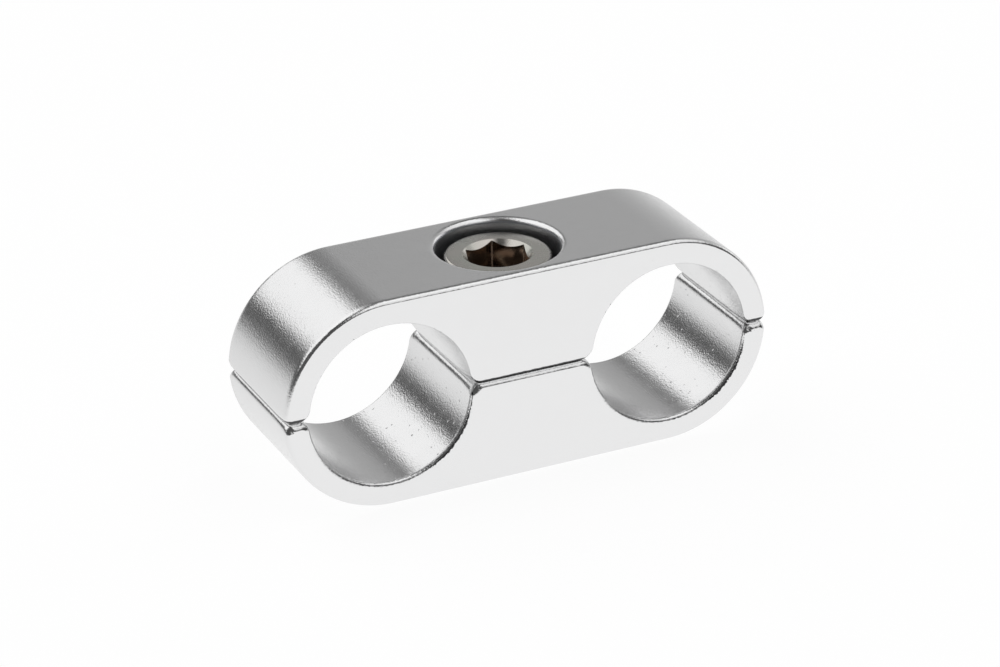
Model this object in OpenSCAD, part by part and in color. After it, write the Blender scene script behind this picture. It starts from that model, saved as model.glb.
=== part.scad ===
// Hose separator clamp: two halves of a round-ended bar, drawn together by one cap screw.
// The origin is where the screw axis meets the split plane. X runs from hose to hose,
// Y runs along the hoses and Z is up.

/* [Hose bores] */
// Diameter that the bores are cut to before the bar is split (mm)
bore_dia = 16; // [14:0.25:16.5]
// Distance between the axes of the two hoses (mm)
bore_spacing = 28.25; // [27.5:0.25:34]
// Thickness of the wall that goes round each hose (mm)
wall = 2.35; // [2.2:0.05:4]
// Length of the clamp along the hoses (mm)
depth = 14.15; // [13.9:0.05:24]
// Width of the saw cut that split the bar, now closed up (mm)
kerf = 0.3; // [0.1:0.05:0.6]

/* [Edges] */
// Radius on every outer edge and on the bore mouths (mm)
edge_r = 0.36; // [0.2:0.02:0.5]
// Radius of the outer corners on the wall tips at the split (mm)
tip_out_r = 0.75; // [0.5:0.05:1.05]
// Radius of the inner corners on the wall tips at the split (mm)
tip_in_r = 1.0; // [0.5:0.05:1.05]
// Radius of the corners where the middle of the bar meets the bores (mm)
web_r = 1.1; // [0.8:0.05:1.6]

/* [Cap screw] */
// Outside diameter of the screw thread (mm)
screw_dia = 5.97; // [4.8:0.01:6.1]
// Diameter of the screw head (mm)
head_dia = 9.95; // [9:0.05:10]
// Height of the screw head (mm)
head_height = 6; // [5:0.1:6.2]
// Radius on the top edge of the head (mm)
head_edge_r = 0.7; // [0.2:0.05:0.9]
// Width across the flats of the key socket (mm)
key_size = 5.3; // [4:0.1:5.4]
// Depth of the flats of the key socket (mm)
key_depth = 3; // [2:0.1:3.2]
// Diameter of the cone that breaks the mouth of the key socket (mm)
key_mouth_dia = 6.6; // [6.3:0.02:6.8]
// Turn of the key socket about the screw axis (deg)
key_turn = 15; // [0:1:60]
// Distance from the screw tip to the bottom face (mm)
tip_gap = 1.4; // [0.6:0.1:3]

/* [Screw seat] */
// Depth of the top of the head below the top face (mm)
head_sink = 0.95; // [0.4:0.05:1.2]
// Space between the head and the wall of its pocket (mm)
pocket_gap = 0.82; // [0.5:0.02:0.9]
// Radius on the rim of the pocket (mm)
pocket_edge_r = 0.48; // [0.2:0.02:0.54]
// Space between the screw and its hole through the upper half (mm)
shank_gap = 0.33; // [0.1:0.01:0.5]
// Space between the screw and the crests cut in the lower half (mm)
thread_gap = 0.06; // [0.03:0.01:0.1]
// Chamfer on the hole mouths at the split and on the bottom face (mm)
hole_chamfer = 0.4; // [0.1:0.05:0.6]

/* [Hidden] */
$fn = 96;
EDGE_STEPS = 4;
CORNER_STEPS = 6;
// How far a cutter reaches past the metal that it cuts (mm)
OVER = 1;
// Slope of the cone that the drill leaves under the key socket (deg)
DRILL_SLOPE = 30;

bore_r = bore_dia / 2;
outer_r = bore_r + wall;
half_kerf = kerf / 2;
half_depth = depth / 2;
bore_x = bore_spacing / 2;
half_height = outer_r - half_kerf;

head_r = head_dia / 2;
shank_r = screw_dia / 2;
head_top = half_height - head_sink;
seat_z = head_top - head_height;
pocket_r = head_r + pocket_gap;
hole_r = shank_r + shank_gap;
tap_r = shank_r + thread_gap;
screw_tip = tip_gap - half_height;
key_r = key_size / 2 / cos(30);
mouth_r = key_mouth_dia / 2;
drill_r = 0.49 * key_size;
point_chamfer = 0.15 * screw_dia;

METAL = [0.80, 0.80, 0.81];
STEEL = [0.70, 0.69, 0.67];

// Points of a rounded corner about a centre, from one direction to another.
function corner(cx, cy, r, from, to, steps = EDGE_STEPS) =
    [for (i = [0:steps])
        let (a = from + (to - from) * i / steps)
            [cx + r * cos(a), cy + r * sin(a)]];

// Half the width of the bar's round end at a height above the middle of the bar.
function reach(r, z) = sqrt(r * r - z * z);

// Turns a section about a line along Y, from one angle through a sweep.
module sweep_about(x, from, sweep) {
    translate([x, 0, 0])
        rotate([90, 0, 0])
            rotate([0, 0, from])
                rotate_extrude(angle = sweep)
                    children();
}

module along_x(length) {
    rotate([90, 0, 90])
        linear_extrude(height = length, center = true)
            children();
}

module along_y(length) {
    rotate([90, 0, 0])
        linear_extrude(height = length, center = true)
            children();
}

// The straight middle of the bar, with rounded long edges.
module bar_middle() {
    z = outer_r - edge_r;
    y = half_depth - edge_r;
    along_x(bore_spacing)
        polygon(concat(
            corner(-y, -z, edge_r, 180, 270),
            corner(y, -z, edge_r, 270, 360),
            corner(y, z, edge_r, 0, 90),
            corner(-y, z, edge_r, 90, 180)));
}

// The round right end of the bar.
module bar_end() {
    y = half_depth - edge_r;
    sweep_about(bore_x, -90, 180)
        polygon(concat(
            [[0, half_depth], [0, -half_depth]],
            corner(outer_r - edge_r, -y, edge_r, 270, 360),
            corner(outer_r - edge_r, y, edge_r, 0, 90)));
}

// The cutter for the right bore, with a rounded mouth at each end.
module bore_cutter() {
    mouth = bore_r + edge_r;
    y = half_depth - edge_r;
    sweep_about(bore_x, 0, 360)
        polygon(concat(
            [[0, -half_depth - OVER], [mouth, -half_depth - OVER]],
            corner(mouth, -y, edge_r, 270, 180),
            corner(mouth, y, edge_r, 180, 90),
            [[mouth, half_depth + OVER], [0, half_depth + OVER]]));
}

// What the saw and the edge rounding take away below the split face of the upper half.
module split_cutter() {
    y = half_depth - edge_r;
    side = half_depth + OVER;
    z = half_kerf + edge_r;
    low = -outer_r - OVER;
    along_x(bore_spacing + 4 * outer_r)
        polygon(concat(
            [[-side, z], [-side, low], [side, low], [side, z]],
            corner(y, z, edge_r, 0, -90),
            corner(-y, z, edge_r, 270, 180)));
}

// Rounds one corner at the split face. The side is 1 where the wall ends to its right.
module corner_cutter(x, r, turn, side) {
    z = half_kerf + r;
    low = half_kerf - OVER;
    out = r + OVER;
    arc = corner(0, z, r, turn, -90, CORNER_STEPS);
    translate([x, 0, 0])
        mirror([side < 0 ? 1 : 0, 0, 0])
            along_y(depth + 2 * OVER)
                polygon(concat(arc, [[0, low], [out, low], [out, arc[0].y]]));
}

module corner_cutters() {
    out_z = half_kerf + tip_out_r;
    in_z = half_kerf + tip_in_r;
    web_z = half_kerf + web_r;
    corner_cutter(bore_x + reach(outer_r - tip_out_r, out_z), tip_out_r,
                  asin(out_z / (outer_r - tip_out_r)), 1);
    corner_cutter(bore_x + reach(bore_r + tip_in_r, in_z), tip_in_r,
                  -asin(in_z / (bore_r + tip_in_r)), -1);
    corner_cutter(bore_x - reach(bore_r + web_r, web_z), web_r,
                  -asin(web_z / (bore_r + web_r)), 1);
}

// The upper half of the bored and split bar, standing on the split plane.
module half_blank() {
    translate([0, 0, -half_kerf])
        difference() {
            union() {
                bar_middle();
                bar_end();
                mirror([1, 0, 0])
                    bar_end();
            }
            split_cutter();
            for (side = [0, 1])
                mirror([side, 0, 0]) {
                    bore_cutter();
                    corner_cutters();
                }
        }
}

// Head pocket with a rounded rim, and the plain hole under it.
module pocket_cutter() {
    rim = pocket_r + pocket_edge_r;
    rotate_extrude()
        polygon(concat(
            [[0, half_height + OVER], [0, -OVER]],
            [[hole_r + hole_chamfer + OVER, -OVER], [hole_r, hole_chamfer]],
            [[hole_r, seat_z], [pocket_r, seat_z]],
            corner(rim, half_height - pocket_edge_r, pocket_edge_r, 180, 90),
            [[rim, half_height + OVER]]));
}

// Threaded hole right through the lower half, cut to the crests of the screw.
module tap_cutter() {
    mouth = tap_r + hole_chamfer + OVER;
    low = -half_height - OVER;
    rotate_extrude()
        polygon([
            [0, OVER],
            [0, low],
            [mouth, low],
            [tap_r, hole_chamfer - half_height],
            [tap_r, -hole_chamfer],
            [mouth, OVER]]);
}

module upper_half() {
    color(METAL)
        difference() {
            half_blank();
            pocket_cutter();
        }
}

module lower_half() {
    color(METAL)
        difference() {
            mirror([0, 0, 1])
                half_blank();
            tap_cutter();
        }
}

// Key socket: six flats, a drilled cone at the bottom and a cone at the mouth.
module key_cutter() {
    floor_z = head_top - key_depth;
    translate([0, 0, floor_z])
        rotate([0, 0, key_turn])
            cylinder(r = key_r, h = key_depth + OVER, $fn = 6);
    rotate_extrude()
        polygon([
            [0, floor_z - drill_r * tan(DRILL_SLOPE)],
            [drill_r, floor_z],
            [drill_r, floor_z + OVER],
            [0, floor_z + OVER]]);
    rotate_extrude()
        polygon([
            [0, head_top - mouth_r],
            [mouth_r + OVER, head_top + OVER],
            [0, head_top + OVER]]);
}

module cap_screw() {
    point_r = shank_r - point_chamfer;
    edge_z = head_top - head_edge_r;
    color(STEEL)
        difference() {
            rotate_extrude()
                polygon(concat(
                    [[0, screw_tip], [point_r, screw_tip]],
                    [[shank_r, screw_tip + point_chamfer]],
                    [[shank_r, seat_z], [head_r, seat_z]],
                    corner(head_r - head_edge_r, edge_z, head_edge_r, 0, 90),
                    [[0, head_top]]));
            key_cutter();
        }
}

lower_half();
upper_half();
cap_screw();
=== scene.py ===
import bmesh
import bpy
import math
from mathutils import Matrix, Vector


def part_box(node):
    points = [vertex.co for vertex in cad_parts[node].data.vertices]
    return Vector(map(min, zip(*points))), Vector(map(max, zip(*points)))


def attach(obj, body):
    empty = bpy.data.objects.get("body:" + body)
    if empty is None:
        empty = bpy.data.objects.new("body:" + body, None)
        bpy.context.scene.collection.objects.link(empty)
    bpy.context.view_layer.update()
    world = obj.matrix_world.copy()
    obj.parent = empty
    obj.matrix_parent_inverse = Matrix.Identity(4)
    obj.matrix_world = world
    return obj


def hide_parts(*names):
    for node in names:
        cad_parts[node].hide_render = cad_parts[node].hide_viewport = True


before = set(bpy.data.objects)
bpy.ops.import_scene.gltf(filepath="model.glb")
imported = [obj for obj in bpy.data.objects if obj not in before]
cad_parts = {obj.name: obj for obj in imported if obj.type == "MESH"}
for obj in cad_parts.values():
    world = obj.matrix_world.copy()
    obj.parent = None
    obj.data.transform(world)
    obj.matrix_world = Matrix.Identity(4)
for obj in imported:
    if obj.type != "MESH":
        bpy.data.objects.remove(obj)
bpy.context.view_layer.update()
mm = 0.001  # sizes below are in millimetres, Blender works in metres
clear = 1.0  # how far cutters reach past the metal
weld = 1e-7  # points nearer than this are one, in metres

barLow, barHigh = (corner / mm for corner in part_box("upper_half"))
print("frame loaded, upper half", [round(v, 2) for v in barHigh - barLow], "mm")

# What every piece shares: the bar's section, the saw cut and where the screw sits.
clamp = {
    "boreRadius": 8.0,
    "wall": 2.35,
    "boreSpacing": 28.25,
    "depth": 14.15,
    "kerf": 0.3,
    # corner radii at the split face, in the middle of the depth and at the ends
    "upperCorners": {"tipOuter": (0.62, 0.78), "tipInner": (0.85, 1.25), "web": (0.85, 1.5)},
    "lowerCorners": {"tipOuter": (0.62, 0.85), "tipInner": (0.85, 1.0), "web": (0.85, 1.3)},
    "cornerFade": 2.4,  # how far in from the ends the corners get rounder
    "fadeRows": 5,
    "arcStep": 2.0,  # degrees between points on a large arc
    "tipPoints": (9, 8, 8),  # along the outer tips', inner tips' and web's corners
    # worn edges: (radius, degrees turned, points) from the long faces round to the end faces
    "upperEdges": {
        "outer": ((1.7, 11, 4), (0.5, 51, 6), (0.16, 28, 3)),
        "bore": ((0.3, 6, 4), (0.08, 78, 6), (0.2, 6, 3)),
        "split": ((2.0, 25, 4), (0.15, 61, 6), (0.3, 4, 3)),
        "tip": ((2.0, 25, 4), (0.15, 61, 6), (0.3, 4, 3)),
    },
    "lowerEdges": {
        "outer": ((2.0, 12, 4), (0.48, 50, 6), (0.16, 28, 3)),
        "bore": ((0.6, 8, 4), (0.4, 76, 6), (0.4, 6, 3)),
        "split": ((1.5, 4, 4), (0.65, 60, 6), (0.2, 26, 3)),
        "tip": ((1.5, 4, 4), (0.95, 60, 6), (0.25, 26, 3)),
    },
    "cornerEdge": 1.6,  # how much wider the rounding gets where three faces meet
    "rightCorners": 0.15,  # the share of that on corners that face right, which wore less
    "smoothUnder": 32,  # degrees between two faces that are shaded as one
}
boreX = clamp["boreSpacing"] / 2
outerRadius = clamp["boreRadius"] + clamp["wall"]
halfKerf = clamp["kerf"] / 2
topZ = outerRadius - halfKerf

# The screw's pocket and holes
seat = {
    "pocketRadius": 5.795,
    "pocketSegments": 160,
    "rim": ((1.2, 10, 4), (0.62, 60, 8), (0.3, 20, 3)),  # arcs, as for the worn edges
    "rimFlare": (0.3, 0.004),  # the cutter leaves the rim by so much across and up
    "floorZ": 3.25,
    "holeRadius": 3.315,
    "holeChamfer": 0.4,
    "mouthCone": 1.2,  # how deep the cones at the tapped hole's mouths go
    "mouthSegments": 96,
}


def newObject(name, mesh):
    obj = bpy.data.objects.new(name, mesh)
    bpy.context.scene.collection.objects.link(obj)
    return obj


def closeMesh(name, bm):
    # welds the seams and turns every face outwards
    bmesh.ops.remove_doubles(bm, verts=bm.verts, dist=weld)
    bmesh.ops.recalc_face_normals(bm, faces=bm.faces)
    mesh = bpy.data.meshes.new(name)
    bm.to_mesh(mesh)
    bm.free()
    return mesh


def settle(obj):
    # replaces an object's modifiers with the mesh that they make
    bpy.context.view_layer.update()
    depsgraph = bpy.context.evaluated_depsgraph_get()
    mesh = bpy.data.meshes.new_from_object(obj.evaluated_get(depsgraph))
    obj.modifiers.clear()
    obj.data = mesh
    return obj


def cut(obj, cutter, operation="DIFFERENCE"):
    boolean = obj.modifiers.new(operation.title(), "BOOLEAN")
    boolean.operation = operation
    boolean.solver = "EXACT"
    boolean.object = cutter
    settle(obj)
    bpy.data.objects.remove(cutter)
    return obj


def shadeMachined(obj, angle):
    # smooth rounds, crisp edges, and flats that stay flat next to a round
    mesh = obj.data
    mesh.polygons.foreach_set("use_smooth", [True] * len(mesh.polygons))
    mesh.set_sharp_from_angle(angle=math.radians(angle))
    weighted = obj.modifiers.new("Flats", "WEIGHTED_NORMAL")
    weighted.mode = "FACE_AREA"
    weighted.keep_sharp = True
    settle(obj)


def revolve(name, profile, segments):
    # turns points (radius, z) about the screw axis
    bm = bmesh.new()
    rings = []
    for radius, z in profile:
        ring = []
        for i in range(segments):
            a = 2 * math.pi * i / segments
            spot = (radius * math.cos(a) * mm, radius * math.sin(a) * mm, z * mm)
            ring.append(bm.verts.new(spot))
        rings.append(ring)
    for low, high in zip(rings, rings[1:]):
        for i in range(segments):
            j = (i + 1) % segments
            bm.faces.new((low[i], low[j], high[j], high[i]))
    return newObject(name, closeMesh(name, bm))


# The clamp's halves: one outline of tangent arcs, swept along Y, with worn edges.

def roundOff(turns):
    # points of a chain of arcs that turns a face into its end: in from the end, down from the face
    points, turned, along, down = [(0.0, 0.0)], 0.0, 0.0, 0.0
    for radius, degrees, count in turns:
        for i in range(1, count + 1):
            a, b = math.radians(turned), math.radians(turned + degrees * i / count)
            points.append((along + radius * (math.sin(b) - math.sin(a)),
                           down + radius * (math.cos(a) - math.cos(b))))
        along, down = points[-1]
        turned += degrees
    return [(along - u, v) for u, v in points]


def fixedArc(cx, cz, radius, start, end, count, facing=1, edges=("outer", "outer"), gain=1.0):
    # points of a round that keep their number when its radius changes: place, direction faced,
    # and how the edge goes from one kind to another and swells on the way
    points = []
    for i in range(count + 1):
        a = math.radians(start + (end - start) * i / count)
        c, s = math.cos(a), math.sin(a)
        swell = 1 + (gain - 1) * math.sin(math.pi * i / count) ** 2
        points.append((cx + radius * c, cz + radius * s, facing * c, facing * s,
                       edges, i / count, swell))
    return points


def rightOutline(nearEnd, corners):
    # from the end of the flat top round to the middle of the split face; nearEnd runs from 0 to 1
    r = clamp["boreRadius"]
    t, u, w = (inside + (atEnd - inside) * nearEnd
               for inside, atEnd in (corners[k] for k in ("tipOuter", "tipInner", "web")))

    def offset(reach, size):
        # how far out a corner's centre stands, and the angle where it meets its round
        height = halfKerf + size
        return math.sqrt(reach * reach - height * height), math.degrees(math.asin(height / reach))

    tipX, tipTurn = offset(outerRadius - t, t)
    lipX, lipTurn = offset(r + u, u)
    webX, webTurn = offset(r + w, w)
    large = round(85 / clamp["arcStep"])  # points on a quarter of the bar's end, less its corner
    wide = clamp["cornerEdge"]
    tipCount, lipCount, webCount = clamp["tipPoints"]
    outline = fixedArc(boreX, -halfKerf, outerRadius, 90, tipTurn, large)
    outline += fixedArc(boreX + tipX, t, t, tipTurn, -90, tipCount,
                        edges=("outer", "tip"), gain=wide)[1:]
    outline += fixedArc(boreX + lipX, u, u, -90, lipTurn - 180, lipCount,
                        edges=("tip", "bore"), gain=wide)
    outline += fixedArc(boreX, -halfKerf, r, lipTurn, 180 - webTurn, 2 * large, facing=-1,
                        edges=("bore", "bore"))[1:]
    outline += fixedArc(boreX - webX, w, w, -webTurn, -90, webCount,
                        edges=("bore", "split"), gain=wide)[1:]
    return outline


def makeHalfBar(name, profiles, corners):
    reach, fade, rows = clamp["depth"] / 2, clamp["cornerFade"], clamp["fadeRows"]
    edges = {}
    for kind, turns in profiles.items():
        edge = roundOff(turns)
        edges[kind] = [(edge[0][0] + (fade - edge[0][0]) * i / rows, 0.0)
                       for i in range(rows, 0, -1)] + edge
    steps = range(len(edges["outer"]))
    bm = bmesh.new()
    rings = []
    for side in (-1, 1):
        for step in steps if side > 0 else reversed(steps):
            nearEnd = 1 - min(edges["outer"][step][0] / fade, 1)
            nearEnd = nearEnd * nearEnd * (3 - 2 * nearEnd)  # smooth at both ends
            right = rightOutline(nearEnd, corners)
            ring = []
            for x, z, nx, nz, (first, second), share, gain in right + right[::-1]:
                way = -1 if len(ring) >= len(right) else 1
                inward, down = (a + (b - a) * share
                                for a, b in zip(edges[first][step], edges[second][step]))
                if way * nx > 0:
                    gain = 1 + (gain - 1) * clamp["rightCorners"]
                ring.append(bm.verts.new((way * (x - nx * down * gain) * mm,
                                          side * (reach - inward) * mm,
                                          (z - nz * down * gain) * mm)))
            rings.append(ring)
    count = len(rings[0])
    for low, high in zip(rings, rings[1:]):
        for i in range(count):
            j = (i + 1) % count
            bm.faces.new((low[i], low[j], high[j], high[i]))
    bm.faces.new(rings[0])
    bm.faces.new(rings[-1])
    return newObject(name, closeMesh(name, bm))


# Threads: a tree that winds a ridge round the screw axis, for the screw and for the tapped hole.

def treeInputs(tree, inputs):
    for label, kind, value in inputs:
        socket = tree.interface.new_socket(label, in_out="INPUT", socket_type="NodeSocket" + kind)
        socket.default_value = value


def addTreeModifier(obj, tree, values):
    modifier = obj.modifiers.new(tree.name, "NODES")
    modifier.node_group = tree
    for socket in tree.interface.items_tree:
        if socket.item_type == "SOCKET" and socket.in_out == "INPUT" and socket.name in values:
            modifier[socket.identifier] = values[socket.name]
    return modifier


class TreeMaker:
    # short ways to add nodes and link them
    def __init__(self, name):
        self.tree = bpy.data.node_groups.new(name, "GeometryNodeTree")
        self.tree.interface.new_socket("Geometry", in_out="INPUT", socket_type="NodeSocketGeometry")
        self.tree.interface.new_socket("Geometry", in_out="OUTPUT", socket_type="NodeSocketGeometry")

    def node(self, kind, **settings):
        made = self.tree.nodes.new(kind)
        for key, value in settings.items():
            setattr(made, key, value)
        return made

    def feed(self, node, **values):
        for key, value in values.items():
            byNumber = key[0] == "i" and key[1:].isdigit()
            socket = node.inputs[int(key[1:]) if byNumber else key]
            if hasattr(value, "is_output"):
                self.tree.links.new(value, socket)
            else:
                socket.default_value = value
        return node

    def math(self, operation, a, b=0.0, c=0.0):
        node = self.node("ShaderNodeMath", operation=operation)
        self.feed(node, i0=a, i1=b, i2=c)
        return node.outputs[0]


threadForm = {
    "rows": 17,  # points across one pitch
    "crest": 0.125,  # the crest and the flanks end at these shares of half a pitch
    "root": 0.75,
    "startEarly": 2,  # whole turns before the low end
    "slack": 0.01,
    "weld": 2e-6,  # in metres
}


def makeThreadTree():
    make = TreeMaker("windThread")
    treeInputs(make.tree, [
        ("Pitch", "Float", 1.0),
        ("Crest Radius", "Float", 2.98),
        ("Root Radius", "Float", 2.39),
        ("Low", "Float", 0.0),
        ("High", "Float", 10.0),
        ("Low Radius", "Float", 2.1),
        ("High Radius", "Float", 2.7),
        ("Run Out", "Float", 1.0),
        ("Turns", "Int", 12),
        ("Steps per Turn", "Int", 48),
    ])
    given = make.node("NodeGroupInput").outputs
    pitch, low, high = given["Pitch"], given["Low"], given["High"]

    # a flat grid: U runs along the winding, V runs across one pitch
    columns = make.math("MULTIPLY_ADD", given["Turns"], given["Steps per Turn"], 1)
    grid = make.feed(make.node("GeometryNodeMeshGrid"), i0=1.0, i1=1.0, i2=columns,
                     i3=threadForm["rows"])
    place = make.node("GeometryNodeInputPosition")
    split = make.feed(make.node("ShaderNodeSeparateXYZ"), i0=place.outputs[0])
    along = make.math("MULTIPLY", make.math("ADD", split.outputs[0], 0.5), given["Turns"])
    across = make.math("ADD", split.outputs[1], 0.5)

    # height before the ends are trimmed, starting below the low end
    start = make.math("SUBTRACT", make.math("FLOOR", make.math("DIVIDE", low, pitch)),
                      threadForm["startEarly"])
    rise = make.math("ADD", make.math("ADD", along, across), start)
    height = make.math("MULTIPLY", rise, pitch)
    trimmed = make.math("MINIMUM", make.math("MAXIMUM", height, low), high)

    # crest in the middle of V, flanks at 60 degrees, root at both sides
    fromCrest = make.math("MULTIPLY", make.math("ABSOLUTE", make.math("SUBTRACT", across, 0.5)), 2)
    flank = make.node("ShaderNodeMapRange")
    make.feed(flank, i0=fromCrest, i1=threadForm["crest"], i2=threadForm["root"],
              i3=given["Crest Radius"], i4=given["Root Radius"])
    runOut = make.node("ShaderNodeMapRange", interpolation_type="SMOOTHSTEP")
    make.feed(runOut, i0=trimmed, i1=make.math("SUBTRACT", high, given["Run Out"]), i2=high,
              i3=0.0, i4=1.0)
    ridge = make.node("ShaderNodeMix", data_type="FLOAT")
    make.feed(ridge, i0=runOut.outputs[0], i2=flank.outputs[0], i3=given["High Radius"])
    point = make.math("ADD", given["Low Radius"], make.math("SUBTRACT", trimmed, low))
    radius = make.math("MINIMUM", ridge.outputs[0], point)

    # past the ends the radius is nothing, which closes them
    slack = threadForm["slack"]
    past = make.math("ADD",
                     make.math("LESS_THAN", height, make.math("SUBTRACT", low, slack)),
                     make.math("GREATER_THAN", height, make.math("ADD", high, slack)))
    radius = make.math("MULTIPLY", radius, make.math("SUBTRACT", 1, past))
    turn = make.math("MULTIPLY", along, 2 * math.pi)
    spot = make.node("ShaderNodeCombineXYZ")
    make.feed(spot,
              i0=make.math("MULTIPLY", radius, make.math("COSINE", turn)),
              i1=make.math("MULTIPLY", radius, make.math("SINE", turn)),
              i2=trimmed)
    toMetres = make.node("ShaderNodeVectorMath", operation="SCALE")
    make.feed(toMetres, Vector=spot.outputs[0], Scale=mm)
    wound = make.feed(make.node("GeometryNodeSetPosition"), Geometry=grid.outputs["Mesh"],
                      Position=toMetres.outputs[0])
    welded = make.feed(make.node("GeometryNodeMergeByDistance"), Geometry=wound.outputs[0],
                       Distance=threadForm["weld"])
    realized = make.feed(make.node("GeometryNodeRealizeInstances"), Geometry=welded.outputs[0])
    make.feed(make.node("NodeGroupOutput"), Geometry=realized.outputs[0])
    return make.tree


threadTree = makeThreadTree()


def windThread(name, values):
    obj = newObject(name, bpy.data.meshes.new(name))
    addTreeModifier(obj, threadTree, values)
    settle(obj)
    bm = bmesh.new()
    bm.from_mesh(obj.data)
    bmesh.ops.dissolve_degenerate(bm, edges=bm.edges, dist=weld)
    obj.data = closeMesh(name, bm)
    return obj


screw = {
    "headRadius": 5.03,
    "headSegments": 128,
    "headTop": 9.25,
    "headEdge": 0.4,  # the round on top
    "edgePoints": 9,
    "headChamfer": 0.2,  # under the head
    "seatZ": 3.25,
    "keySize": 5.5,  # across the flats
    "keyCorner": 0.14,
    "keyCornerTurns": (-30, -10, 10, 30),  # degrees at which a corner's points stand
    "keyDepth": 3.0,
    "keyTurn": 15.0,
    "mouthRadius": 3.27,
    "drillRadius": 2.6,
    "drillSlope": 30,  # of the cone that the drill leaves, in degrees
    "drillSegments": 96,
    "smoothUnder": 28,
}

# Materials

noiseRange = (0.3, 0.7)  # nearly all that a noise texture gives lies between these
narrowestDent = 0.002  # a dent of no width would divide by zero


class Shader:
    # a material with a Principled surface, and short ways to add its nodes
    def __init__(self, name, baseColor, roughness):
        self.material = bpy.data.materials.new(name)
        self.material.use_nodes = True
        self.nodes = self.material.node_tree.nodes
        self.links = self.material.node_tree.links
        self.surface = self.nodes["Principled BSDF"]
        self.surface.inputs["Base Color"].default_value = (*baseColor, 1)
        self.surface.inputs["Metallic"].default_value = 1.0
        self.surface.inputs["Roughness"].default_value = roughness
        self.place = self.nodes.new("ShaderNodeTexCoord").outputs["Object"]

    def add(self, kind, settings=None, **inputs):
        node = self.nodes.new(kind)
        for key, value in (settings or {}).items():
            setattr(node, key, value)
        for key, value in inputs.items():
            self.put(node.inputs[key.replace("_", " ")], value)
        return node

    def put(self, socket, value):
        if hasattr(value, "is_output"):
            self.links.new(value, socket)
        else:
            socket.default_value = value

    def noise(self, size, detail=2.0, place=None):
        # size is the width of one grain in millimetres
        node = self.add("ShaderNodeTexNoise", Vector=place or self.place,
                        Scale=1 / (size * mm), Detail=detail)
        return node.outputs["Fac"]

    def math(self, operation, a, b=0.0):
        node = self.add("ShaderNodeMath", {"operation": operation})
        self.put(node.inputs[0], a)
        self.put(node.inputs[1], b)
        return node.outputs[0]

    def product(self, first, *others):
        for other in others:
            first = self.math("MULTIPLY", first, other)
        return first

    def length(self, x, y):
        node = self.add("ShaderNodeVectorMath", {"operation": "LENGTH"})
        self.links.new(self.add("ShaderNodeCombineXYZ", X=x, Y=y).outputs[0], node.inputs[0])
        return node.outputs["Value"]

    def ranged(self, value, low, high, toLow=0.0, toHigh=1.0):
        node = self.add("ShaderNodeMapRange", Value=value)
        for socket, number in zip(node.inputs[1:5], (low, high, toLow, toHigh)):
            socket.default_value = number
        return node.outputs[0]

    def fade(self, value, none, full):
        # 0 at the first distance and 1 at the second, both in millimetres
        return self.ranged(value, none * mm, full * mm)

    def band(self, value, none, full, fullTop, noneTop):
        return self.product(self.fade(value, noneTop, fullTop), self.fade(value, none, full))

    def spread(self, noise, low, high):
        return self.ranged(noise, *noiseRange, low, high)

    def blend(self, share, first, second, kind="RGBA"):
        # mixes two colours, or two numbers where kind is FLOAT
        node = self.add("ShaderNodeMix", {"data_type": kind})
        a, b, out = {"RGBA": (6, 7, 2), "FLOAT": (2, 3, 0)}[kind]
        self.put(node.inputs[0], share)
        for socket, value in ((node.inputs[a], first), (node.inputs[b], second)):
            self.put(socket, (*value, 1) if isinstance(value, tuple) else value)
        return node.outputs[out]

    def dents(self, spacing, rare, widest, channel):
        # a dent in the cells whose chance is above rare, and no two of one width
        cells = self.add("ShaderNodeTexVoronoi", Vector=self.place, Scale=1 / (spacing * mm))
        chance = self.add("ShaderNodeSeparateXYZ", Vector=cells.outputs["Color"]).outputs[channel]
        width = self.ranged(chance, rare, 1.0, narrowestDent, widest)
        share = self.math("MINIMUM", self.math("DIVIDE", cells.outputs["Distance"], width), 1)
        return self.math("SUBTRACT", share, 1)

    def bump(self, height, depth, before=None):
        # depth is in millimetres
        node = self.add("ShaderNodeBump", Height=height, Distance=depth * mm, Strength=1.0)
        if before:
            self.links.new(before, node.inputs["Normal"])
        return node.outputs[0]


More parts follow.
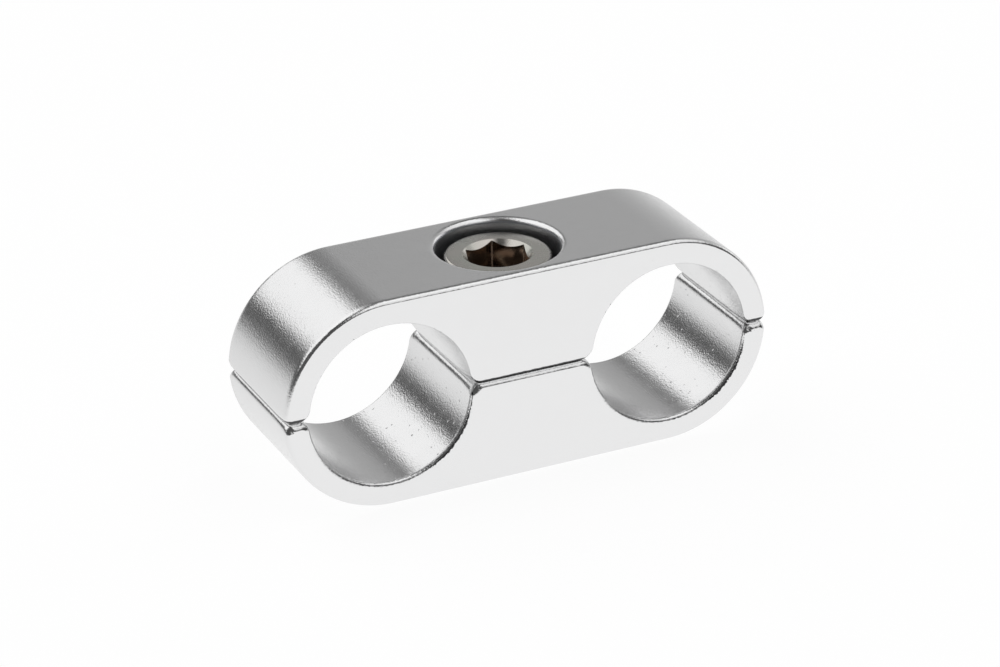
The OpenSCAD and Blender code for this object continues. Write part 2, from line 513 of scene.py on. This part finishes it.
# Lengths are in millimetres. A pair says where something is absent and where it is full, and
# four heights say: none, full, full, none.
satin = {
    "color": (0.83, 0.83, 0.832),
    "roughness": (0.14, 0.2),
    "cloudSize": 1.4,  # of the patches over which the roughness changes
    "grainSize": 0.16,
    "grainDepth": 0.0205,
    "boreGrain": 1.15,  # how much deeper the grain is in the bores
    "boreFade": (0.06, 0.01),  # beyond a bore's radius
    "rippleSize": 0.45,
    "rippleDepth": 0.004,
    "speckSpacing": 0.5,  # specks in the bores, where the plating is thin
    "speckRare": 0.4,  # the share of cells that have none
    "speckWidth": 0.24,  # of the widest, as a share of the spacing
    "speckDepth": 0.045,
    "pitSpacing": 0.9,  # pits everywhere
    "pitRare": 0.6,
    "pitWidth": 0.09,
    "pitDepth": 0.025,
    "mouthWidth": 0.45,  # the bores' mouths are ragged where the tool left them
    "mouthFade": (0.7, 0.6),  # full from this share of the width, on the wall and on the end
    "mouthGrain": 0.22,
    "mouthHeights": (-1.5, -3.0),
    "mouthDepth": 0.03,
    "pocketRoughness": 0.36,  # the pocket was never polished
    # painted shade: the metal inside the pocket is darker
    "pocketShade": (0.56, 0.57, 0.6),
    "pocketFade": (0.12, 0.04),  # beyond the pocket's radius
    "pocketBelow": 0.05,  # how far under its floor the pocket's look goes
    "jointShade": (0.075, 0.075, 0.077),  # painted shade in the joint line, under the upper half's edge
    "jointWander": (0.02, 0.5),  # how far its edge strays, and the size of one stray
    "jointHeights": (0.17, 0.2, 0.34, 0.38),  # on the upper half
    "joinedHeights": (-0.06, -0.04, 0.01, 0.03),  # on the lower half
    "jointDepth": (1.2, 0.8),  # in from the ends
    "jointEnd": (6.3, 5.3),  # how far out from the screw it goes
    "tipEnd": (21.7, 22.1),  # and from where it goes on at the tips
    "tipRise": 0.12,  # how much higher it reaches there
    "tipRiseFrom": (21.0, 22.0),
    "tipHeights": (0.2, 0.26, 0.38, 0.46),  # the same at the tips, all along the clamp
    "tipFrom": (21.5, 22.0),
    # how strong the painted shade is at the tips
    "tipShade": 0.9,
    "burrShade": (0.09, 0.27, 0.09),  # painted shadow of a burr round the mouths: from, to, how far it wanders
    "burrGrain": 0.25,
    "burrSide": (3.2, 5.0),  # right of a bore's middle
    "burrHeights": (-0.5, -4.0),
    "burrLeast": 0.05,  # there is none where it would be weaker than this
    "burrDepth": 0.3,  # in from the ends
}


# painted shade: darkens the joint line where the halves meet, and the split at the tips
def jointShadeMask(s, out, back, z):
    # out is the distance from the screw to the sides, back the one to the ends
    wander, size = satin["jointWander"]
    line = s.math("ADD", z, s.spread(s.noise(size), -wander * mm, wander * mm))
    none, full, fullTop, noneTop = satin["jointHeights"]
    rise = s.math("MULTIPLY", s.fade(out, *satin["tipRiseFrom"]), satin["tipRise"] * mm)
    top = s.fade(s.math("SUBTRACT", line, rise), noneTop, fullTop)
    height = s.product(top, s.fade(line, none, full))
    for other in (s.band(line, *satin["jointHeights"]), s.band(z, *satin["joinedHeights"])):
        height = s.math("MAXIMUM", height, other)
    across = s.math("MAXIMUM", s.fade(out, *satin["jointEnd"]), s.fade(out, *satin["tipEnd"]))
    nearEnd = s.fade(back, *(clamp["depth"] / 2 - v for v in satin["jointDepth"]))
    onTip = s.product(s.band(line, *satin["tipHeights"]), s.fade(out, *satin["tipFrom"]),
                      satin["tipShade"])
    return s.math("ADD", s.product(height, across, nearEnd), onTip)


def burrShadeMask(s, x, back, z, reach):
    # painted shadow of the burr that the tool left round the right side of the lower bores' mouths
    start, end, wander = satin["burrShade"]
    start, end = clamp["boreRadius"] + start, clamp["boreRadius"] + end
    beside = s.math("SUBTRACT", x, s.math("MULTIPLY", s.math("SIGN", x), boreX * mm))
    strength = s.product(s.fade(beside, *satin["burrSide"]), s.fade(z, *satin["burrHeights"]))
    limit = s.math("ADD", s.math("MULTIPLY", strength, (end - start) * mm), start * mm)
    stray = s.spread(s.noise(satin["burrGrain"], detail=3), -wander * mm, wander * mm)
    return s.product(
        s.math("GREATER_THAN", reach, start * mm),
        s.math("LESS_THAN", s.math("ADD", reach, stray), limit),
        s.math("GREATER_THAN", strength, satin["burrLeast"]),
        s.math("GREATER_THAN", back, (clamp["depth"] / 2 - satin["burrDepth"]) * mm))


def makeSatinMetal():
    s = Shader("satinMetal", satin["color"], satin["roughness"][0])
    x, y, z = s.add("ShaderNodeSeparateXYZ", Vector=s.place).outputs
    out, back = s.math("ABSOLUTE", x), s.math("ABSOLUTE", y)
    reach = s.length(s.math("SUBTRACT", out, boreX * mm), z)  # from the nearer bore's axis
    bore, end = clamp["boreRadius"], clamp["depth"] / 2
    inBore = s.fade(reach, *(bore + v for v in satin["boreFade"]))
    inPocket = s.product(
        s.fade(s.length(x, y), *(seat["pocketRadius"] + v for v in satin["pocketFade"])),
        s.math("GREATER_THAN", z, (seat["floorZ"] - satin["pocketBelow"]) * mm))

    # painted shade in the joint line and round the lower bores' mouths
    paintedShade = s.math("MAXIMUM", jointShadeMask(s, out, back, z), burrShadeMask(s, x, back, z, reach))
    color = s.blend(paintedShade, satin["color"], satin["jointShade"])
    # painted shade darkens the pocket
    s.put(s.surface.inputs["Base Color"], s.blend(inPocket, color, satin["pocketShade"]))
    polish = s.spread(s.noise(satin["cloudSize"], detail=4), *satin["roughness"])
    s.put(s.surface.inputs["Roughness"], s.blend(inPocket, polish, satin["pocketRoughness"], "FLOAT"))

    width, (wallShare, endShare) = satin["mouthWidth"], satin["mouthFade"]
    ragged = s.product(
        s.fade(reach, bore + width, bore + width * wallShare),
        s.fade(back, end - width, end - width * endShare),
        s.noise(satin["mouthGrain"], detail=3),
        s.fade(z, *satin["mouthHeights"]))
    deeper = s.math("ADD", s.math("MULTIPLY", inBore, satin["boreGrain"] - 1), 1)
    specks = s.dents(satin["speckSpacing"], satin["speckRare"], satin["speckWidth"], 1)
    pits = s.dents(satin["pitSpacing"], satin["pitRare"], satin["pitWidth"], 0)
    normal = s.bump(s.noise(satin["rippleSize"], detail=1), satin["rippleDepth"])
    normal = s.bump(s.product(s.noise(satin["grainSize"]), deeper), satin["grainDepth"], normal)
    normal = s.bump(s.product(specks, inBore), satin["speckDepth"], normal)
    normal = s.bump(pits, satin["pitDepth"], normal)
    normal = s.bump(ragged, satin["mouthDepth"], normal)
    s.put(s.surface.inputs["Normal"], normal)
    return s.material


steel = {
    "color": (0.625, 0.585, 0.55),
    "otherColor": (0.59, 0.595, 0.545),  # the plating's tint changes a little over the head
    "tintSize": 4.5,
    "tintRange": (0.35, 0.65),  # the part of the noise over which the tint changes
    "roughness": (0.2, 0.3),
    "cloudSize": 1.1,
    "ringSize": 0.09,
    "ringDepth": 0.0012,
    "grainSize": 0.12,
    "grainDepth": 0.002,
    "socketColor": (0.41, 0.345, 0.295),  # the brown film in the key socket
    "socketReach": 3.12,  # radius within which the film lies, below the mouth's cone
    "socketBelow": 0.02,  # how far below the cone it starts
    "socketRoughness": 0.1,
}


def makeScrewSteel():
    s = Shader("screwSteel", steel["color"], steel["roughness"][0])
    x, y, z = s.add("ShaderNodeSeparateXYZ", Vector=s.place).outputs
    fromAxis = s.length(x, y)

    # the socket keeps the film that the rest of the screw has lost
    rise = (screw["headTop"] - screw["mouthRadius"] - steel["socketBelow"]) * mm
    film = s.product(
        s.math("LESS_THAN", fromAxis, steel["socketReach"] * mm),
        s.math("GREATER_THAN", s.math("ADD", fromAxis, rise), z),
        s.math("GREATER_THAN", z, screw["seatZ"] * mm))
    tint = s.ranged(s.noise(steel["tintSize"], detail=1), *steel["tintRange"])
    color = s.blend(tint, steel["color"], steel["otherColor"])
    s.put(s.surface.inputs["Base Color"], s.blend(film, color, steel["socketColor"]))
    polish = s.spread(s.noise(steel["cloudSize"], detail=3), *steel["roughness"])
    s.put(s.surface.inputs["Roughness"], s.blend(film, polish, steel["socketRoughness"], "FLOAT"))

    # turning marks: noise that only changes with the distance from the axis and with height
    ringPlace = s.add("ShaderNodeCombineXYZ", X=fromAxis, Z=z).outputs[0]
    normal = s.bump(s.noise(steel["ringSize"], place=ringPlace), steel["ringDepth"])
    normal = s.bump(s.noise(steel["grainSize"]), steel["grainDepth"], normal)
    s.put(s.surface.inputs["Normal"], normal)
    return s.material


satinMetal = makeSatinMetal()
screwSteel = makeScrewSteel()
print("materials made")

thread = {
    "pitch": 1.0,
    "crestRadius": 2.975,
    "rootRadius": 2.39,
    "tapGap": 0.06,
    "tapTurns": 16,
    "tapRunOut": 0.2,
    "tipZ": -8.8,
    "tipRadius": 2.09,
    "turns": 17,
    "runOut": 1.6,  # how gradually the thread ends under the head
    "neckRadius": 2.75,
    "intoHead": 0.6,  # how far the shank is sunk in the head
}


def makeUpperHalf():
    half = makeHalfBar("upperHalf", clamp["upperEdges"], clamp["upperCorners"])
    wall = seat["pocketRadius"]
    chamfer = seat["holeRadius"] + seat["holeChamfer"]
    rim = roundOff(seat["rim"])
    outside = wall + rim[0][0]
    across, up = seat["rimFlare"]
    profile = [(0, topZ + clear), (outside + 2 * clear, topZ + clear), (outside + across, topZ + up)]
    profile += [(wall + inward, topZ - down) for inward, down in rim[1:]]
    profile += [(wall, seat["floorZ"]), (seat["holeRadius"], seat["floorZ"]),
                (seat["holeRadius"], seat["holeChamfer"]), (chamfer + clear, -clear), (0, -clear)]
    cut(half, revolve("pocketCutter", profile, seat["pocketSegments"]))
    half.data.materials.append(satinMetal)
    shadeMachined(half, clamp["smoothUnder"])
    return half


def makeLowerHalf():
    half = makeHalfBar("lowerHalf", clamp["lowerEdges"], clamp["lowerCorners"])
    half.data.transform(Matrix.Scale(-1, 4, (0, 0, 1)))
    half.data.flip_normals()
    gap = thread["tapGap"]
    tap = windThread("tapCutter", {
        "Pitch": thread["pitch"],
        "Crest Radius": thread["crestRadius"] + gap,
        "Root Radius": thread["rootRadius"] + gap,
        "Low": -topZ - clear,
        "High": clear,
        "Low Radius": thread["rootRadius"],
        "High Radius": thread["rootRadius"],
        "Run Out": thread["tapRunOut"],
        "Turns": thread["tapTurns"],
    })
    cut(half, tap)
    mouth = thread["crestRadius"] + gap + seat["holeChamfer"]
    for z, way in ((0, 1), (-topZ, -1)):
        above, below = z + clear * way, z - seat["mouthCone"] * way
        cone = [(0, above), (mouth + clear, above), (mouth, z),
                (mouth - seat["mouthCone"], below), (0, below)]
        cut(half, revolve("mouthCutter", cone, seat["mouthSegments"]))
    half.data.materials.append(satinMetal)
    shadeMachined(half, clamp["smoothUnder"])
    return half


def makeCapScrew():
    top, edge, low = screw["headTop"], screw["headEdge"], screw["seatZ"]
    radius, chamfer = screw["headRadius"], screw["headChamfer"]
    rounded = fixedArc(radius - edge, top - edge, edge, 90, 0, screw["edgePoints"])
    profile = [(0, top)] + [point[:2] for point in rounded]
    profile += [(radius, low + chamfer), (radius - chamfer, low), (0, low)]
    head = revolve("capScrew", profile, screw["headSegments"])
    shank = windThread("shank", {
        "Pitch": thread["pitch"],
        "Crest Radius": thread["crestRadius"],
        "Root Radius": thread["rootRadius"],
        "Low": thread["tipZ"],
        "High": low + thread["intoHead"],
        "Low Radius": thread["tipRadius"],
        "High Radius": thread["neckRadius"],
        "Run Out": thread["runOut"],
        "Turns": thread["turns"],
    })
    cut(head, shank, "UNION")
    socketFloor = top - screw["keyDepth"]
    bm = bmesh.new()
    corners = []
    reach = (screw["keySize"] / 2 - screw["keyCorner"]) / math.cos(math.radians(30))
    for z in (socketFloor, top + clear):
        ring = []
        for i in range(6):
            a = math.radians(screw["keyTurn"] + 60 * i)
            for turn in screw["keyCornerTurns"]:
                b = a + math.radians(turn)
                x = reach * math.cos(a) + screw["keyCorner"] * math.cos(b)
                y = reach * math.sin(a) + screw["keyCorner"] * math.sin(b)
                ring.append(bm.verts.new((x * mm, y * mm, z * mm)))
        corners.append(ring)
    for i in range(len(ring)):
        j = (i + 1) % len(ring)
        bm.faces.new((corners[0][i], corners[0][j], corners[1][j], corners[1][i]))
    bm.faces.new(corners[0])
    bm.faces.new(corners[1])
    cut(head, newObject("keyCutter", closeMesh("keyCutter", bm)))
    drill = screw["drillRadius"]
    point = socketFloor - drill * math.tan(math.radians(screw["drillSlope"]))
    profile = [(0, point), (drill, socketFloor), (drill, top - clear), (0, top - clear)]
    cut(head, revolve("drillCutter", profile, screw["drillSegments"]))
    mouth = screw["mouthRadius"]
    profile = [(0, top - mouth), (mouth + clear, top + clear), (0, top + clear)]
    cut(head, revolve("mouthCutter", profile, screw["headSegments"]))
    head.data.materials.clear()
    head.data.materials.append(screwSteel)
    shadeMachined(head, screw["smoothUnder"])
    return head


upperHalf = makeUpperHalf()
print("upper half made:", len(upperHalf.data.polygons), "faces")
lowerHalf = makeLowerHalf()
print("lower half made:", len(lowerHalf.data.polygons), "faces")
capScrew = makeCapScrew()
print("cap screw made:", len(capScrew.data.polygons), "faces")

# Each piece rides on the body whose solid it replaces.
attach(upperHalf, "upper_half")
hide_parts("upper_half")
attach(lowerHalf, "lower_half")
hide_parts("lower_half")
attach(capScrew, "cap_screw")
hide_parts("cap_screw")

# Camera

camera = {
    "azimuth": -24.92,
    "elevation": 25.1277,
    "roll": -1.1632,
    "distance": 337.6,
    "slideX": 0.04013,  # how far the camera stands right of the line to the origin, and above it
    "slideY": 0.93045,
    "focalLength": 130.374,
    "sensorWidth": 36,
    "clipStart": 0.01,  # in metres
}


def placeCamera():
    az, el, roll = (math.radians(camera[k]) for k in ("azimuth", "elevation", "roll"))
    back = Vector((math.sin(az) * math.cos(el), -math.cos(az) * math.cos(el), math.sin(el)))
    right = Vector((math.cos(az), math.sin(az), 0))
    up = back.cross(right)
    turnedRight = right * math.cos(roll) + up * math.sin(roll)
    turnedUp = up * math.cos(roll) - right * math.sin(roll)
    spot = back * camera["distance"] + turnedRight * camera["slideX"] + turnedUp * camera["slideY"]
    data = bpy.data.cameras.new("photoCamera")
    data.lens = camera["focalLength"]
    data.sensor_width = camera["sensorWidth"]
    data.clip_start = camera["clipStart"]
    obj = bpy.data.objects.new("photoCamera", data)
    bpy.context.scene.collection.objects.link(obj)
    turn = Matrix((turnedRight, turnedUp, back)).transposed().to_4x4()
    obj.matrix_world = Matrix.Translation(spot * mm) @ turn
    bpy.context.scene.camera = obj


placeCamera()
print("camera placed")

# Studio: white walls to the camera, soft boxes and grey screens to the metal.
# Angles are in degrees, azimuth from +Y towards +X. Later screens stand in front of earlier ones.
screens = {
    # name: (azimuth from, to, elevation from, to, softness across, softness up, brightness, tilt)
    "wallRight": (2, 150, -90, 90, 5, 6, 0.40, 0),
    "wallRightLow": (2, 110, -90, 10.5, 6, 11, 0.55, 0),
    "sweepRight": (2, 90, -90, 0, 8, 6, 0.68, 0),
    "darkGapLeft": (-95, 2, 3.9, 90, 6, 2.8, 0.10, 0),
    "greyGap": (2, 17.5, 12, 60, 6, 6, 0.21, 0),
    "softBoxLeft": (-88, 4.3, 19.4, 90, 1.2, 2.2, 1.03, -0.6),
    "softBoxTop": (-180, 180, 45, 90, 0, 5, 1.1, 0),
    "gapAboveWall": (8, 58, 36, 60, 7, 3, 0.15, 0),
    "gapToZenith": (4, 44, 56, 84, 4, 3, 0.10, 0),
    "darkZenith": (-180, 180, 79, 90, 0, 4, 0.1, 0),
    "softBoxRight": (60, 96, 3, 22, 5, 3, 1.0, 0),
    "softBoxFront": (76, 172, 33, 60, 6, 3, 0.9, 0),
    "darkFront": (97, 268, -90, 28, 8, 4, 0.06, 0),
    "darkCamera": (187, 256, -90, 90, 5, 5, 0.07, 0),
    "darkLeft": (-180, -92, -90, 40, 6, 6, 0.08, 0),
}
roomBrightness = 0.35
tiltMiddle = -30.0  # the azimuth where a tilted edge is at its own elevation
tiltMost = 4.0  # degrees up or down


def makeStudioWorld():
    world = bpy.data.worlds.new("studio")
    bpy.context.scene.world = world
    world.use_nodes = True
    nodes, links = world.node_tree.nodes, world.node_tree.links
    nodes.clear()

    def mathNode(operation, a, b=0.0, c=0.0):
        node = nodes.new("ShaderNodeMath")
        node.operation = operation
        for socket, value in zip(node.inputs, (a, b, c)):
            if hasattr(value, "is_output"):
                links.new(value, socket)
            else:
                socket.default_value = value
        return node.outputs[0]

    def edge(value, low, high):
        # 0 at low, 1 at high, smooth between
        node = nodes.new("ShaderNodeMapRange")
        node.interpolation_type = "SMOOTHSTEP"
        links.new(value, node.inputs[0])
        node.inputs[1].default_value = low
        node.inputs[2].default_value = high
        return node.outputs[0]

    direction = nodes.new("ShaderNodeSeparateXYZ")
    links.new(nodes.new("ShaderNodeTexCoord").outputs["Generated"], direction.inputs[0])
    x, y, z = direction.outputs
    azimuth = mathNode("MULTIPLY", mathNode("ARCTAN2", x, y), 180 / math.pi)
    elevation = mathNode("MULTIPLY", mathNode("ARCSINE", z), 180 / math.pi)
    level = roomBrightness
    for name, (azFrom, azTo, elFrom, elTo, softAz, softEl, brightness, tilt) in screens.items():
        middle, half = (azFrom + azTo) / 2, (azTo - azFrom) / 2
        off = mathNode("WRAP", mathNode("SUBTRACT", azimuth, middle), 180, -180)
        height = elevation
        if tilt:
            # the screen's lower edge slopes, by tilt degrees for each degree across
            lean = mathNode("MULTIPLY", mathNode("SUBTRACT", azimuth, tiltMiddle), -tilt)
            lean = mathNode("MINIMUM", mathNode("MAXIMUM", lean, -tiltMost), tiltMost)
            height = mathNode("ADD", elevation, lean)
        inside = edge(height, elFrom - softEl, elFrom + softEl) if elFrom > -90 else 1.0
        if half < 180:
            across = edge(mathNode("ABSOLUTE", off), half + softAz, half - softAz)
            inside = mathNode("MULTIPLY", inside, across)
        if elTo < 90:
            inside = mathNode("MULTIPLY", inside, edge(height, elTo + softEl, elTo - softEl))
        mix = nodes.new("ShaderNodeMix")
        mix.data_type = "FLOAT"
        mix.label = name
        links.new(inside, mix.inputs[0])
        if hasattr(level, "is_output"):
            links.new(level, mix.inputs[2])
        else:
            mix.inputs[2].default_value = level
        mix.inputs[3].default_value = brightness
        level = mix.outputs[0]
    ray = nodes.new("ShaderNodeLightPath").outputs["Is Camera Ray"]
    room = nodes.new("ShaderNodeBackground")
    links.new(level, room.inputs["Color"])
    white = nodes.new("ShaderNodeBackground")
    white.inputs["Color"].default_value = (1, 1, 1, 1)
    pick = nodes.new("ShaderNodeMixShader")
    links.new(ray, pick.inputs[0])
    links.new(room.outputs[0], pick.inputs[1])
    links.new(white.outputs[0], pick.inputs[2])
    links.new(pick.outputs[0], nodes.new("ShaderNodeOutputWorld").inputs["Surface"])


makeStudioWorld()

# Floor: glows white to the camera and in the metal, and keeps a part of the clamp's shadow.
floorLook = {
    "size": 3000.0,
    "poolX": 8.0,  # the middle of the lit pool, in front of the clamp
    "poolY": -60.0,
    "pool": (48.0, 100.0, 0.12),  # full within, gone beyond, and how much it adds
    "far": (60.0, 250.0, 0.86, 0.70),  # the painted light's fall-off over the sheet
    "white": 1.1,
    "shadow": 0.18,
    "paper": (0.9, 0.9, 0.9),
    "under": 2e-6,  # how far it lies under the clamp, in metres
}


def makeFloor():
    half = floorLook["size"] / 2 * mm
    z = -topZ * mm - floorLook["under"]
    mesh = bpy.data.meshes.new("floor")
    corners = [(-half, -half, z), (half, -half, z), (half, half, z), (-half, half, z)]
    mesh.from_pydata(corners, [], [(0, 1, 2, 3)])
    floor = newObject("floor", mesh)
    material = bpy.data.materials.new("floorWhite")
    material.use_nodes = True
    nodes, links = material.node_tree.nodes, material.node_tree.links
    nodes.clear()
    place = nodes.new("ShaderNodeTexCoord").outputs["Object"]
    away = nodes.new("ShaderNodeVectorMath")
    away.operation = "DISTANCE"
    links.new(place, away.inputs[0])
    away.inputs[1].default_value = (floorLook["poolX"] * mm, floorLook["poolY"] * mm, -topZ * mm)

    def fade(low, high, toLow, toHigh):
        node = nodes.new("ShaderNodeMapRange")
        node.interpolation_type = "SMOOTHSTEP"
        links.new(away.outputs["Value"], node.inputs[0])
        for socket, value in zip(node.inputs[1:5], (low * mm, high * mm, toLow, toHigh)):
            socket.default_value = value
        return node.outputs[0]

    near, gone, gain = floorLook["pool"]
    level = nodes.new("ShaderNodeMath")
    level.operation = "ADD"
    links.new(fade(near, gone, gain, 0), level.inputs[0])
    links.new(fade(*floorLook["far"]), level.inputs[1])
    glow = nodes.new("ShaderNodeEmission")
    links.new(level.outputs[0], glow.inputs["Strength"])
    white = nodes.new("ShaderNodeEmission")
    white.inputs["Strength"].default_value = floorLook["white"]
    paper = nodes.new("ShaderNodeBsdfDiffuse")
    paper.inputs["Color"].default_value = (*floorLook["paper"], 1)
    seen = nodes.new("ShaderNodeMixShader")
    seen.inputs[0].default_value = floorLook["shadow"]
    links.new(white.outputs[0], seen.inputs[1])
    links.new(paper.outputs[0], seen.inputs[2])
    rays = nodes.new("ShaderNodeLightPath").outputs
    pick = nodes.new("ShaderNodeMixShader")
    links.new(rays["Is Camera Ray"], pick.inputs[0])
    links.new(glow.outputs[0], pick.inputs[1])
    links.new(seen.outputs[0], pick.inputs[2])
    links.new(pick.outputs[0], nodes.new("ShaderNodeOutputMaterial").inputs["Surface"])
    mesh.materials.append(material)


makeFloor()

bpy.context.scene.view_settings.view_transform = "Standard"
print("studio made")
